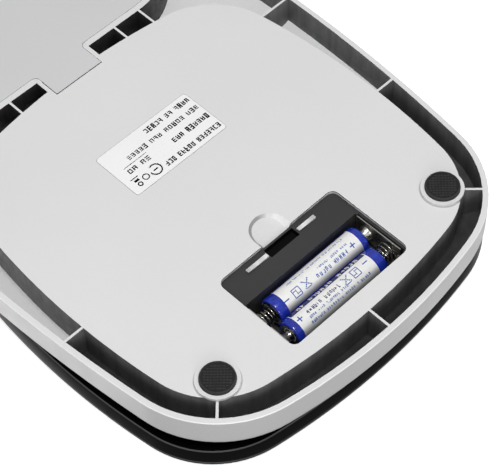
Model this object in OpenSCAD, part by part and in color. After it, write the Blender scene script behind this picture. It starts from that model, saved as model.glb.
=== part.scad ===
// Digital kitchen scale: silver housing on four rubber feet, black weighing platform on one
// load cell, sloped display panel with two buttons, and an open bay for two AAA cells below.
// +Z is up, -Y is the display end, and the origin is on the table under the middle.

/* [Body] */
// Length of the housing, front to back
body_l = 240; // [236:0.5:246]
// Greatest width of the housing
body_w = 165.2; // [163:0.2:170]
// How far forward of the middle the housing is widest
widest_y = 6.8; // [4:0.2:10]
// Height of the flat underside above the table
floor_z = 2.4; // [2:0.1:3]
// Thickness of the moulded walls
wall = 1.8; // [1.4:0.1:2.2]
// Thickness of the floor plate
floor_t = 2; // [1.6:0.1:2.4]
// Width of the flat rim round the underside
rim_t = 2.1; // [1.6:0.1:3]
// Height of the silver outer wall above the underside
side_h = 11.5; // [10:0.5:13]
// Thickness of the stiffening ribs
rib_t = 0.9; // [0.7:0.1:1.2]

/* [Platform] */
// Width of the weighing platform
platform_w = 160.2; // [156:0.2:162]
// Length of the weighing platform
platform_l = 159.2; // [156:0.2:160]
// Distance of the platform's middle behind the housing's middle
platform_y = 37.6; // [36:0.2:38]
// Height of the platform's top above the table
platform_top = 30; // [29:0.5:34]
// Height of the skirt's lower edge above the table
skirt_z = 22.6; // [22:0.1:24]
// Travel of the platform onto its overload stops
platform_travel = 0.6; // [0.4:0.1:0.8]

/* [Display panel] */
// Height of the panel at its back edge
panel_back_z = 25; // [24:0.5:26]
// Slope of the panel, in degrees
panel_tilt = 5.3; // [4:0.1:6]
// Width of the display window
window_w = 68; // [60:1:72]
// Depth of the display window
window_d = 30; // [26:1:32]
// Distance of each button from the middle
button_x = 52; // [48:1:54]
// Radius of each button
button_r = 7.5; // [6:0.5:8.5]
// Travel of each button
button_travel = 0.7; // [0.4:0.1:1]

/* [Battery bay] */
// Width of the opening
bay_w = 55; // [54:0.5:56]
// Back edge of the opening, behind the middle
bay_back = 101.8; // [101:0.2:102]
// Length of the opening, front to back
bay_l = 35.7; // [35:0.1:36]
// Diameter of an AAA cell
cell_d = 10.3; // [10:0.1:10.5]
// Length of an AAA cell's can, without its nub
cell_l = 42.5; // [42.3:0.1:43.4]
// Height of the cells' axes above the underside
cell_z = 7; // [6.8:0.1:7.2]

/* [Feet] */
// Radius of a rubber foot pad
pad_r = 6.1; // [5.5:0.1:6.5]
// Radius of the boss round a pad
boss_r = 7.6; // [7.2:0.1:8]
// How far the boss stands below the underside
boss_h = 1.15; // [1:0.05:1.3]

/* [Hidden] */
$fn = 64;
e = 0.01;

// ---- outlines -------------------------------------------------------------------------
// Crossing point of two circles, on the side away from the axis
function meet(p, pr, q, qr) = let(
    d = norm(q - p),
    a = (pr * pr - qr * qr + d * d) / (2 * d),
    h = sqrt(pr * pr - a * a),
    u = (q - p) / d)
    p + a * u + h * [-u[1], u[0]];

function arc(c, r, from, to, n) =
    [for (i = [0:n - 1]) c + r * [cos(from + (to - from) * i / n), sin(from + (to - from) * i / n)]];

// A quarter of a rounded outline, from (a, 0) to (0, b): a flat side arc, a corner arc and a
// flat end arc, each tangent to the next, all moved in by d
function quarter(a, b, end_r, side_r, corner_r, d) = let(
    side_c = [a - side_r, 0],
    end_c = [0, b - end_r],
    c = meet(side_c, side_r - corner_r, end_c, end_r - corner_r),
    t1 = atan2(c[1] - side_c[1], c[0] - side_c[0]),
    t2 = atan2(c[1] - end_c[1], c[0] - end_c[0]))
    concat(arc(side_c, side_r - d, 0, t1, 8), arc(c, corner_r - d, t1, t2, 16),
        arc(end_c, end_r - d, t2, 90, 8));

function rev(v) = [for (i = [len(v) - 1:-1:1]) v[i]];

// Whole outline from a rear quarter and a front quarter
function ring(rear, front, cy, b_rear, b_front, d) = concat(
    [for (p = rear) [p[0], cy + p[1]]],
    [[0, cy + b_rear - d]],
    [for (p = rev(rear)) [-p[0], cy + p[1]]],
    [for (p = front) [-p[0], cy - p[1]]],
    [[0, cy - b_front + d]],
    [for (p = rev(front)) [p[0], cy - p[1]]]);

body_rear = body_l / 2 + widest_y;
body_front = body_l / 2 - widest_y;
function body_ring(d) = ring(
    quarter(body_w / 2, body_rear, 221, 617, 41, d),
    quarter(body_w / 2, body_front, 300, 617, 36, d), -widest_y, body_rear, body_front, d);

function platform_ring(d) = ring(
    quarter(platform_w / 2, platform_l / 2, 265, 285, 35.8, d),
    quarter(platform_w / 2, platform_l / 2, 265, 285, 35.8, d),
    platform_y, platform_l / 2, platform_l / 2, d);

tub_y = 35.7;
tub_w = 141.2;
tub_l = 147;
function tub_ring(d) = ring(
    quarter(tub_w / 2, tub_l / 2, 247, 293, 30.2, d),
    quarter(tub_w / 2, tub_l / 2, 247, 293, 30.2, d), tub_y, tub_l / 2, tub_l / 2, d);

// Solid through a stack of outlines; levels are [z, inset]
module stack(levels, kind) {
    rings = [for (l = levels) kind == "body" ? body_ring(l[1]) : platform_ring(l[1])];
    n = len(rings[0]);
    m = len(levels);
    pts = [for (j = [0:m - 1]) for (p = rings[j]) [p[0], p[1], levels[j][0]]];
    sides = [for (j = [0:m - 2]) for (i = [0:n - 1]) let(k = (i + 1) % n)
        [j * n + i, (j + 1) * n + i, (j + 1) * n + k, j * n + k]];
    polyhedron(pts, concat(sides, [[for (i = [0:n - 1]) i]],
        [[for (i = [n - 1:-1:0]) (m - 1) * n + i]]), convexity = 6);
}

module rounded(w, l, r) {
    square([w - 2 * r, l], center = true);
    square([w, l - 2 * r], center = true);
    for (x = [-1, 1], y = [-1, 1]) translate([x * (w / 2 - r), y * (l / 2 - r)]) circle(r);
}

// ---- driving places -------------------------------------------------------------------
side_top = floor_z + side_h;
inner_z = floor_z + floor_t;
moat_edge_z = floor_z + 12;
moat_in_z = floor_z + 14.6;
moat_in = 11;
shell_top = moat_in_z + wall;
deck_top = 20.6;
deck_t = 1.6;
front_wall_y = -43.5;
front_in = rim_t + 8.2;
front_corner = 33;
cover_in = 2.6;
tongue_w = 21.3;
tongue_y = -34.4;
neck_w = 25;
rear_foot = [53.5, 93.2];
front_foot = [56.2, -95];
feet = [[-rear_foot[0], rear_foot[1]], rear_foot, [-front_foot[0], front_foot[1]], front_foot];
boss_z = floor_z - boss_h;
boss_top = 13;
pad_seat = 1;
screw_r = 1.45;
bay_y = bay_back - bay_l / 2;
cell_axis_z = floor_z + cell_z;
front_cell_y = 83.9;
rear_cell_y = 94.3;
front_cell_x = 1;
rear_cell_x = -0.95;

// ---- base shell -----------------------------------------------------------------------
// Outline of the display compartment, moved in by d
module front_outline(d) {
    intersection() {
        polygon(body_ring(front_in + d));
        translate([0, front_wall_y - 60 - d])
            rounded(2 * (70.5 - d), 120, front_corner - d);
    }
}

module tub_outline(d) {
    polygon(tub_ring(d));
}

module neck_outline(d) {
    translate([-neck_w / 2 + d, front_wall_y - 2]) square([neck_w - 2 * d, 12]);
}

module foot_at(p, z, h, r) {
    translate([p[0], p[1], z]) cylinder(r = r, h = h);
}

// A rib from one point to another, from the underside up into the roof of the moat
module rib(from, to) {
    v = to - from;
    translate([from[0], from[1], floor_z]) rotate([0, 0, atan2(v[1], v[0])])
        translate([0, -rib_t / 2, 0]) cube([norm(v), rib_t, moat_in_z - floor_z + 0.6]);
}

module ribs() {
    rib([0, 105], [0, 119]);
    rib([0, -105], [0, -119]);
    for (s = [-1, 1]) {
        rib([s * 55, 94.7], [s * 64, 103.7]);
        rib([s * 58, -96.8], [s * 67.5, -106.3]);
        rib([s * 66, 47.2], [s * 80, 47.2]);
        rib([s * 66, -8], [s * 81, -8]);
        rib([s * 66, -70], [s * 79, -70]);
        for (x = [25.3, 37.4]) rib([s * x, -45], [s * x, -34]);
    }
}

// The moat: everything below the sloped roof, between the rim and the two tubs
module moat() {
    difference() {
        stack([[floor_z - 1, rim_t], [moat_edge_z, rim_t], [moat_in_z, moat_in]], "body");
        translate([0, 0, floor_z - 2]) linear_extrude(30) {
            tub_outline(0);
            front_outline(0);
            neck_outline(0);
        }
        ribs();
        for (p = feet) foot_at(p, floor_z - 2, 30, boss_r);
    }
}

module tub_hollow() {
    difference() {
        translate([0, 0, inner_z]) linear_extrude(30) {
            tub_outline(wall);
            neck_outline(wall);
        }
        for (p = feet) foot_at(p, 0, boss_top, boss_r);
        // pad under the load cell's fixed end
        translate([-8, -5, 0]) cube([16, 30, inner_z + 0.6]);
    }
}

module display_opening() {
    difference() {
        union() {
            translate([0, 0, inner_z + 1.5]) linear_extrude(30) front_outline(wall);
            translate([0, 0, inner_z - e]) linear_extrude(2) front_outline(cover_in + 2.2);
            translate([0, 0, floor_z - 1]) linear_extrude(floor_t + 1) display_cover_outline(-0.12);
            // wider clearance round the tongue's end
            translate([-tongue_w / 2 - 0.3, tongue_y - 8, floor_z - 1])
                cube([tongue_w + 0.42, 8.35, floor_t + 1]);
        }
        for (p = feet) foot_at(p, 0, boss_top, boss_r);
    }
}

module display_cover_outline(d) {
    difference() {
        union() {
            front_outline(cover_in + d);
            translate([-tongue_w / 2 + d, front_wall_y - cover_in - 6])
                square([tongue_w - 2 * d, tongue_y - d - (front_wall_y - cover_in - 6)]);
            // small fillets where the tongue leaves the cover
            for (s = [-1, 1]) difference() {
                translate([s * (tongue_w / 2 + 0.9 - d), front_wall_y - cover_in + 0.4 - d])
                    square([2.4, 2], center = true);
                translate([s * (tongue_w / 2 + 2 - d), front_wall_y - cover_in + 2 - d])
                    circle(2);
            }
        }
        for (s = [-1, 1]) translate([s * front_foot[0], front_foot[1]]) circle(boss_r + 0.9 + d);
    }
}

// Boss for a foot: a pad seat below, a counterbore for the screw's head, and a socket above
module foot_bores(p) {
    foot_at(p, boss_z - 1, pad_seat + 1, pad_r + 0.15);
    foot_at(p, boss_z, 4.6, 3.4);
    foot_at(p, boss_z, 30, screw_r + 0.25);
    foot_at(p, boss_top, 30, 5.6);
}

// Levels of the shell's rounded shoulder and sloped top, raised by up
function shoulder(up) = [[side_top - 1, 0], [side_top + 0.5 + up, 0.3], [side_top + 1.6 + up, 1],
    [side_top + 2.3 + up, 2], [side_top + 2.6 + up, 3.2], [side_top + 2.65 + up, 5.2],
    [shell_top + up, moat_in + 1]];

module base_solid() {
    difference() {
        stack(concat([[floor_z, 0.3], [floor_z + 0.3, 0]], shoulder(0)), "body");
        moat();
        tub_hollow();
        display_opening();
        translate([0, 0, inner_z + 2]) linear_extrude(30)
            translate([-neck_w / 2 + wall, front_wall_y - 8]) square([neck_w - 2 * wall, 16]);
    }
}

module base_shell() color("#dcdcdc") {
    difference() {
        union() {
            base_solid();
            for (p = feet) foot_at(p, boss_z, boss_top - boss_z, boss_r);
        }
        for (p = feet) foot_bores(p);
        // battery opening
        translate([0, bay_y, floor_z - 1]) linear_extrude(floor_t + 2) rounded(bay_w, bay_l, 2.8);
        // finger recess beside the latch
        finger_bowl(0);
        // screw holes of the load cell
        for (y = load_cell_fixed) {
            translate([0, y, floor_z - e]) cylinder(r1 = 3.1, r2 = 2.2, h = 2);
            translate([0, y, floor_z]) cylinder(r = 2.2, h = 6);
        }
    }
    difference() {
        finger_bowl(1.1);
        finger_bowl(0);
        translate([-20, bay_back - bay_l, 0]) cube([40, 20, 20]);
        translate([-20, 40, 0]) cube([40, 40, floor_z]);
    }
}

// Half-moon recess for a fingertip, with sloping sides; t grows it outwards
module finger_bowl(t) {
    y = bay_back - bay_l;
    top = 7.1 + t;
    intersection() {
        union() {
            translate([0, y - 3.1, floor_z - 1]) cylinder(r1 = top + 0.7, r2 = top - 2.8, h = 5);
            translate([0, y + 0.5, floor_z]) rotate([90, 0, 0]) linear_extrude(3.6)
                polygon([[-top - 0.7, -1], [top + 0.7, -1], [top - 2.8, 4], [2.8 - top, 4]]);
        }
        translate([-20, y - 14, 0]) rotate([90, 0, 90]) linear_extrude(40)
            polygon([[0, 0], [0, floor_z + 0.5 + t], [3, floor_z + 0.9 + t],
                [14.2, floor_z + 2.5 + t], [14.2, 0]]);
    }
}

module display_cover() color("#cecece") {
    translate([0, 0, floor_z]) linear_extrude(floor_t - 0.1) display_cover_outline(0);
}

// ---- top cover ------------------------------------------------------------------------
cover_edge = 3.4;
cover_low = side_top + 2.7;
panel_y = -44;
panel_mid = [0, -82];
function panel_z(y) = panel_back_z + (y - panel_y) * tan(panel_tilt);

// Frame on the sloped panel's face, at a place given on the table
module on_panel(x, y) {
    translate([x, y, panel_z(y)]) rotate([panel_tilt, 0, 0]) children();
}

module panel_outline(d) {
    difference() {
        intersection() {
            polygon(body_ring(cover_edge + d));
            translate([-100, -130]) square([200, 108 - d]);
        }
        polygon(platform_ring(-1.7 - d));
    }
}

// Everything under the sloped panel plane, lowered by drop
module below_panel(drop) {
    rotate([90, 0, 90]) translate([0, 0, -100]) linear_extrude(200)
        polygon([[-130, 0], [0, 0], [0, panel_z(0) - drop], [-130, panel_z(-130) - drop]]);
}

module panel_solid(d, drop, low) {
    intersection() {
        translate([0, 0, low]) linear_extrude(20) panel_outline(d);
        below_panel(drop);
    }
}

board_posts = [[-40, -15.5], [40, -15.5], [-54, 14.5], [54, 14.5]];
board_face = -8.2;

module top_cover() color("#1b1b1c") {
    difference() {
        union() {
            difference() {
                stack([[cover_low, cover_edge], [deck_top - 1, cover_edge + 0.5],
                    [deck_top - 0.3, cover_edge + 1.1], [deck_top, cover_edge + 2]], "body");
                stack([[cover_low - 1, cover_edge + 1.4], [deck_top - deck_t - 0.8, cover_edge + 1.9],
                    [deck_top - deck_t, cover_edge + 3.2]], "body");
                // the display end has its own sloped panel
                translate([0, 0, cover_low - 1]) linear_extrude(9) panel_outline(0.3);
                stack(shoulder(0.15), "body");
            }
            // overload stops under the carrier's arms
            for (p = stops) foot_at(p, deck_top - 1, carrier_z - platform_travel - deck_top + 0.95, 3);
            difference() {
                panel_solid(0, 0, cover_low);
                panel_solid(1.6, 2, cover_low - 1);
                stack(shoulder(0.15), "body");
            }
            // posts for the housing screws
            for (p = feet) foot_at(p, boss_top + 0.3, deck_top - deck_t - boss_top, 4.6);
            on_panel(panel_mid[0], panel_mid[1]) for (p = board_posts)
                translate([p[0], p[1], board_face]) cylinder(r = 2.6, h = -board_face - 1);
        }
        for (p = feet) foot_at(p, boss_top, deck_top - 1 - boss_top, screw_r + 0.02);
        // slot for the load cell and the carrier's spacer
        translate([-9, platform_y - 43, deck_top - 3]) cube([18, 86, 5]);
        on_panel(panel_mid[0], panel_mid[1]) {
            translate([0, 0, -1.6]) linear_extrude(5) rounded(window_w + 0.3, window_d + 0.3, 3.15);
            translate([0, 0, -6]) linear_extrude(8) rounded(window_w - 5, window_d - 5, 1.5);
            for (s = [-1, 1]) translate([s * button_x, 0, -6]) cylinder(r = button_r + 0.25, h = 8);
            for (p = board_posts) translate([p[0], p[1], board_face - 1]) cylinder(r = 1.02, h = 6);
        }
    }
}

// ---- feet, label, screws --------------------------------------------------------------
module foot_pad(p) color("#2b2b2b") {
    foot_at(p, 0.35, boss_z + pad_seat - 0.35, pad_r);
    translate([p[0], p[1], 0]) cylinder(r1 = pad_r - 0.35, r2 = pad_r, h = 0.35);
}

module rear_left_foot() foot_pad(feet[0]);
module rear_right_foot() foot_pad(feet[1]);
module front_left_foot() foot_pad(feet[2]);
module front_right_foot() foot_pad(feet[3]);

module housing_screws() color("#9a9ca0") {
    for (p = feet) {
        foot_at(p, boss_z + 4.6, deck_top - boss_z - 6.1, screw_r);
        foot_at(p, boss_z + 2.2, 2.4, 3);
    }
}

label_w = 42.7;
label_l = 22;
label_y = 9.4;
module rating_label() color("white") {
    translate([0, label_y, floor_z - 0.12]) linear_extrude(0.12) rounded(label_w, label_l, 1);
}

// ---- battery bay ----------------------------------------------------------------------
bay_front = 78.4;
bay_left = -26.4;
bay_right = 25.9;
bay_end = 101.2;
bay_roof = floor_z + 12.9;
ledge_z = floor_z + 1.3;
tray_wall = 1.1;

module bay_box(t, z, h) {
    translate([bay_left - t, bay_front - t, z])
        cube([bay_right - bay_left + 2 * t, bay_end - bay_front + 2 * t, h]);
}

module battery_tray() color("#3c3c3c") {
    difference() {
        union() {
            // flange above the floor plate
            translate([0, bay_y, inner_z]) linear_extrude(1.2)
                rounded(bay_w + 4, bay_l + 4, 4);
            // ledge plate that fills the opening
            translate([0, bay_y, ledge_z]) linear_extrude(inner_z - ledge_z + 1.2)
                rounded(bay_w - 0.3, bay_l - 0.3, 2.6);
            bay_box(tray_wall, inner_z, bay_roof - inner_z + tray_wall);
            // pocket behind the latch notch
            translate([-7.7, bay_back - bay_l + 0.3, ledge_z]) cube([15, 6, 2.8]);
        }
        bay_box(0, 0, bay_roof);
        // recess of the finger bowl's foot
        translate([-8.6, bay_back - bay_l - 5, 0]) cube([17.2, 5.15, 20]);
        // latch notch
        translate([-6.9, bay_back - bay_l + 1, 0]) cube([13.4, 3.9, ledge_z + 2.2]);
        // slots for the contact plates
        for (x = [bay_left, bay_right]) translate([x - 0.7, bay_front + 0.6, ledge_z - 1])
            cube([1.4, bay_end - bay_front - 1.2, bay_roof - ledge_z - 0.6]);
        // windows for the solder tabs
        for (y = [front_cell_y, rear_cell_y]) translate([bay_left - 3, y - 1.6, cell_axis_z - 0.4])
            cube([3, 3.2, 1.4]);
    }
    // rails that guide the door's tabs
    for (s = [-1, 1]) translate([s > 0 ? 7.2 : -17, bay_back - bay_l + 2.6, ledge_z - 0.7])
        cube([s > 0 ? 8 : 9.6, 1.5, 0.8]);
}

// Contact plates stand in the slots at the bay's two ends
module plate(x, y, w) {
    translate([x - 0.2, y - w / 2, ledge_z + 0.6]) cube([0.4, w, bay_roof - ledge_z - 2.4]);
}

// Pressed bump that reaches from a plate to a cell's nub
module dimple(x, y, side, h) {
    translate([x, y, cell_axis_z]) rotate([0, side * 90, 0]) cylinder(r1 = 2.9, r2 = 1.8, h = h);
}

left_plate = bay_left - 0.1;
right_plate = bay_right + 0.1;
module bridge_contact() color("#c8c8c4") {
    plate(right_plate, (front_cell_y + rear_cell_y) / 2, 20.2);
    dimple(right_plate + 0.1, front_cell_y, -1, right_plate - front_cell_x - cell_l / 2 - 1.05);
}

// Tab that a lead is soldered to, outside the tray
module solder_tab(y) {
    translate([left_plate - 3, y - 1.2, cell_axis_z]) cube([3, 2.4, 0.4]);
}

module negative_contact() color("#c8c8c4") {
    plate(left_plate, front_cell_y, 8.4);
    solder_tab(front_cell_y);
}

module positive_contact() color("#c8c8c4") {
    plate(left_plate, rear_cell_y, 8.4);
    dimple(left_plate - 0.1, rear_cell_y, 1, rear_cell_x - cell_l / 2 - 1.05 - left_plate);
    solder_tab(rear_cell_y);
}

function helix(x0, x1, r0, r1, turns, n) = [for (i = [0:n]) let(t = i / n,
    r = r0 + (r1 - r0) * t, a = 360 * turns * t)
    [x0 + (x1 - x0) * t, r * cos(a), r * sin(a)]];

// Round wire along a list of points
module wire(path, r, sides) {
    n = len(path);
    function dir(i) = let(v = path[min(i + 1, n - 1)] - path[max(i - 1, 0)]) v / norm(v);
    function side(i) = let(t = dir(i), k = abs(t[2]) < 0.9 ? [0, 0, 1] : [1, 0, 0],
        s = cross(t, k)) s / norm(s);
    pts = [for (i = [0:n - 1]) let(s = side(i), u = cross(dir(i), s)) for (j = [0:sides - 1])
        path[i] + r * (cos(360 * j / sides) * s + sin(360 * j / sides) * u)];
    polyhedron(pts, concat(
        [for (i = [0:n - 2]) for (j = [0:sides - 1]) let(k = (j + 1) % sides)
            [i * sides + j, i * sides + k, (i + 1) * sides + k]],
        [for (i = [0:n - 2]) for (j = [0:sides - 1]) let(k = (j + 1) % sides)
            [i * sides + j, (i + 1) * sides + k, (i + 1) * sides + j]],
        [[for (j = [sides - 1:-1:0]) j]], [[for (j = [0:sides - 1]) (n - 1) * sides + j]]));
}

// Conical spring from a plate to a cell's flat end
module spring(y, from, to) color("#c8c8c4") {
    translate([0, y, cell_axis_z]) wire(helix(from, to, 3.9, 2.3, 4, 64), 0.3, 6);
}

module bridge_spring() spring(rear_cell_y, right_plate - 0.51, rear_cell_x + cell_l / 2 + 0.31);
module negative_spring() spring(front_cell_y, left_plate + 0.51, front_cell_x - cell_l / 2 - 0.31);

// AAA cell: can with rolled ends, nub on the side given by s
module aaa_cell(x, y, s) color("#f0f0f0") {
    translate([x, y, cell_axis_z]) rotate([0, s * 90, 0]) {
        translate([0, 0, -cell_l / 2]) rotate_extrude() polygon([[0, 0], [cell_d / 2 - 0.5, 0],
            [cell_d / 2, 0.5], [cell_d / 2, cell_l - 0.6], [cell_d / 2 - 0.6, cell_l],
            [0, cell_l]]);
        translate([0, 0, cell_l / 2 - 0.1]) cylinder(r = 1.9, h = 1.2);
    }
}

module front_cell() aaa_cell(front_cell_x, front_cell_y, 1);
module rear_cell() aaa_cell(rear_cell_x, rear_cell_y, -1);

// ---- load cell ------------------------------------------------------------------------
bar_w = 12.7;
bar_l = 78;
bar_z = 7.4;
bar_top = bar_z + 12.7;
carrier_z = 21.6;
carrier_t = 2;
load_cell_fixed = [platform_y - 35.4, platform_y - 20.4];
load_cell_free = [platform_y + 20.4, platform_y + 35.4];

module load_cell() color("silver") {
    difference() {
        translate([-bar_w / 2, platform_y - bar_l / 2, bar_z]) cube([bar_w, bar_l, 12.7]);
        for (s = [-1, 1]) translate([-10, platform_y + s * 7.5, bar_z + 6.35]) rotate([0, 90, 0])
            cylinder(r = 5, h = 20);
        translate([-10, platform_y - 7.5, bar_z + 4.35]) cube([20, 15, 4]);
        for (y = concat(load_cell_fixed, load_cell_free)) translate([0, y, 0])
            cylinder(r = 2, h = 30);
    }
}

module cell_spacer() color("silver") {
    difference() {
        translate([-bar_w / 2, platform_y - bar_l / 2, inner_z + 0.6])
            cube([bar_w, 26, bar_z - inner_z - 0.6]);
        for (y = load_cell_fixed) translate([0, y, 0]) cylinder(r = 2.2, h = 30);
    }
}

module carrier_spacer() color("silver") {
    difference() {
        translate([-bar_w / 2, platform_y + bar_l / 2 - 26, bar_top])
            cube([bar_w, 26, carrier_z - bar_top]);
        for (y = load_cell_free) translate([0, y, 0]) cylinder(r = 2.2, h = 30);
    }
}

module base_cell_screws() color("#b8b8b8") {
    for (y = load_cell_fixed) translate([0, y, floor_z + 0.1]) {
        cylinder(r1 = 2.9, r2 = 1.95, h = 1.9);
        cylinder(r = 1.95, h = 14);
    }
}

module carrier_cell_screws() color("#b8b8b8") {
    for (y = load_cell_free) {
        translate([0, y, carrier_z + carrier_t]) cylinder(r = 3.5, h = 2.4);
        translate([0, y, bar_z + 2]) cylinder(r = 1.95, h = carrier_z + carrier_t - bar_z - 2);
    }
}

module strain_gauges() color("white") {
    for (z = [bar_z - 0.7, bar_top]) translate([-4, platform_y - 12, z]) linear_extrude(0.7)
        translate([4, 12]) rounded(8, 24, 2);
}

// ---- platform -------------------------------------------------------------------------
post_at = 50;
posts = [for (x = [-1, 1], y = [-1, 1]) [x * post_at, platform_y + y * post_at]];
stops = [for (x = [-32, 32], y = [-32, 32]) [x, platform_y + y]];

module carrier() color("#a9adb1") {
    difference() {
        union() {
            translate([0, platform_y, carrier_z]) linear_extrude(carrier_t) {
                for (a = [45, 135]) rotate(a) rounded(2 * post_at * sqrt(2) + 14, 20, 7);
                rounded(34, 84, 6);
            }
            // raised edges of the arms
            for (a = [45, 135], s = [-1, 1]) translate([0, platform_y, carrier_z + carrier_t - e])
                rotate(a) for (x = [-42, 42]) translate([x, s * 9.2, 1])
                    cube([40, 1.5, 2], center = true);
        }
        for (p = posts) translate([p[0], p[1], carrier_z - e]) {
            cylinder(r1 = 3.2, r2 = 1.7, h = 1.6);
            cylinder(r = 1.7, h = 5);
        }
        for (y = load_cell_free) translate([0, y, 0]) cylinder(r = 2.2, h = 30);
        for (y = load_cell_fixed) translate([0, y, 0]) cylinder(r = 4, h = 30);
    }
}

module platform() color("#161617") {
    difference() {
        stack([[skirt_z, 1.74], [skirt_z + 0.3, 1.5], [platform_top - 2.6, 0],
            [platform_top - 1.2, 0.25], [platform_top - 0.4, 0.9], [platform_top, 2.2]], "platform");
        stack([[skirt_z - 1, 3.7], [platform_top - 2.2, 2.6]], "platform");
    }
    for (p = posts) difference() {
        translate([p[0], p[1], carrier_z + carrier_t])
            cylinder(r = 4, h = platform_top - 2.1 - carrier_z - carrier_t);
        translate([p[0], p[1], carrier_z]) cylinder(r = 1.22, h = 5.6);
    }
}

module platform_screws() color("#9a9ca0") {
    for (p = posts) translate([p[0], p[1], carrier_z + 0.1]) {
        cylinder(r1 = 3, r2 = 1.2, h = 1.4);
        cylinder(r = 1.2, h = 5.2);
    }
}

// ---- display --------------------------------------------------------------------------
window_t = 1.5;
glass_top = -2.2;
glass_t = 2.6;
glass_w = 60;
glass_d = 23;
board_t = 1.6;
board_w = 118;
board_d = 38;

module main_board() color("#1d6b3a") {
    on_panel(panel_mid[0], panel_mid[1]) difference() {
        translate([0, 0, board_face - board_t]) linear_extrude(board_t) rounded(board_w, board_d, 3);
        for (p = board_posts) translate([p[0], p[1], -20]) cylinder(r = 1.4, h = 20);
        // bites for the front bosses
        for (s = [-1, 1]) translate([s * front_foot[0], front_foot[1] - panel_mid[1] - 0.2, -20])
            cylinder(r = boss_r + 1.4, h = 20);
    }
}

module board_screws() color("#9a9ca0") {
    on_panel(panel_mid[0], panel_mid[1]) for (p = board_posts) translate([p[0], p[1], 0]) {
        translate([0, 0, board_face - board_t - 1.3]) cylinder(r = 2.1, h = 1.3);
        translate([0, 0, board_face - board_t]) cylinder(r = 1, h = board_t + 4);
    }
}

module lcd_glass() color("#8fa08c") {
    on_panel(panel_mid[0], panel_mid[1]) translate([-glass_w / 2, -glass_d / 2, glass_top - glass_t])
        cube([glass_w, glass_d, glass_t]);
}

module lcd_frame() color("white") {
    on_panel(panel_mid[0], panel_mid[1]) difference() {
        translate([0, 0, board_face]) linear_extrude(glass_top - board_face)
            rounded(glass_w + 3, glass_d + 3, 1.5);
        translate([-glass_w / 2, -glass_d / 2, glass_top - glass_t])
            cube([glass_w, glass_d, 10]);
        translate([-glass_w / 2 + 1, -glass_d / 2 + 0.6, board_face - 1])
            cube([glass_w - 2, glass_d - 1.2, 10]);
    }
}

module zebra_strips() color("#d0a0a8") {
    on_panel(panel_mid[0], panel_mid[1]) for (s = [-1, 1])
        translate([-glass_w / 2 + 2, s * (glass_d / 2 - 1.7) - 1, board_face])
            cube([glass_w - 4, 2, glass_top - glass_t - board_face]);
}

module display_window() color("#0c0d0e") {
    on_panel(panel_mid[0], panel_mid[1]) translate([0, 0, -window_t]) linear_extrude(window_t)
        rounded(window_w, window_d, 3);
}

switch_h = 2.6;
module tact_switches() color("#202020") {
    on_panel(panel_mid[0], panel_mid[1]) for (s = [-1, 1]) {
        translate([s * button_x - 3, -3, board_face]) cube([6, 6, switch_h]);
        translate([s * button_x, 0, board_face]) cylinder(r = 1.7, h = switch_h + 0.5);
    }
}

// Sockets under the board for the two sets of leads
module lead_sockets() color("#efece0") {
    on_panel(panel_mid[0], panel_mid[1]) for (at = [[0, 5.6], [-14, 5]])
        translate([at[0] - at[1] / 2, 14, board_face - board_t - 5.4]) cube([at[1], 4, 5.4]);
}

// Button cap with a stem that stops just above its switch
module button(s) color("#c4c6c8") {
    stem_z = board_face + switch_h + 0.5 + button_travel + 0.05;
    on_panel(panel_mid[0] + s * button_x, panel_mid[1]) {
        translate([0, 0, -2.4]) cylinder(r = button_r, h = 3.2);
        translate([0, 0, 0.8 - e]) cylinder(r1 = button_r, r2 = button_r - 0.5, h = 0.4);
        translate([0, 0, stem_z]) cylinder(r = 2.2, h = -2.3 - stem_z);
    }
}

module tare_button() button(-1);
module unit_button() button(1);

// ---- wiring ---------------------------------------------------------------------------
// Smooth curve through chosen points
function bend(p, i, t) = let(n = len(p), a = p[max(i - 1, 0)], b = p[i], c = p[i + 1],
    d = p[min(i + 2, n - 1)])
    0.5 * ((2 * b) + (c - a) * t + (2 * a - 5 * b + 4 * c - d) * t * t
        + (3 * b - a - 3 * c + d) * t * t * t);
function smooth(p, k) = concat([for (i = [0:len(p) - 2]) for (j = [0:k - 1]) bend(p, i, j / k)],
    [p[len(p) - 1]]);

cell_route = [[6.85, 34, 11], [7.6, 22, 10.5], [9, 6, 9], [7, -12, 7.5], [2, -30, 7],
    [0, -46, 7.5], [0, -56, 8.3], [0, -62.5, 8.8]];
bay_route = [[-32, 66, 9], [-30, 40, 6.5], [-22, 10, 6.5], [-10, -16, 7], [-7, -34, 8],
    [-9, -48, 8.5], [-13, -56, 9.2], [-14, -62.4, 9.4]];
negative_start = [[-29.4, front_cell_y, 10.4], [-31.8, 79, 10.2]];
positive_start = [[-29.4, rear_cell_y, 10.4], [-33, 89, 11.2], [-33.4, 79, 11.8]];

module load_cell_lead() {
    for (i = [0:3]) color(["red", "black", "green", "white"][i])
        translate([0, 0, i * 1.05]) wire(smooth(cell_route, 4), 0.45, 6);
}

module battery_leads() {
    color("black") wire(smooth(concat(negative_start, bay_route), 4), 0.6, 6);
    color("red") wire(smooth(concat(positive_start, [for (p = bay_route) p + [0, 0, 1.4]]), 4), 0.6, 6);
}

base_shell();
display_cover();
top_cover();
rear_left_foot();
rear_right_foot();
front_left_foot();
front_right_foot();
housing_screws();
rating_label();
battery_tray();
bridge_contact();
bridge_spring();
negative_contact();
negative_spring();
positive_contact();
load_cell();
cell_spacer();
base_cell_screws();
strain_gauges();
main_board();
board_screws();
lcd_glass();
lcd_frame();
zebra_strips();
display_window();
tact_switches();
lead_sockets();
load_cell_lead();
battery_leads();
platform();
carrier();
carrier_spacer();
carrier_cell_screws();
platform_screws();
tare_button();
unit_button();
front_cell();
rear_cell();
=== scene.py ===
"""Looks of the kitchen scale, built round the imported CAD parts. Lengths are in metres, or in
millimetres where that is said or where MM turns them into metres."""
import math
import random

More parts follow.
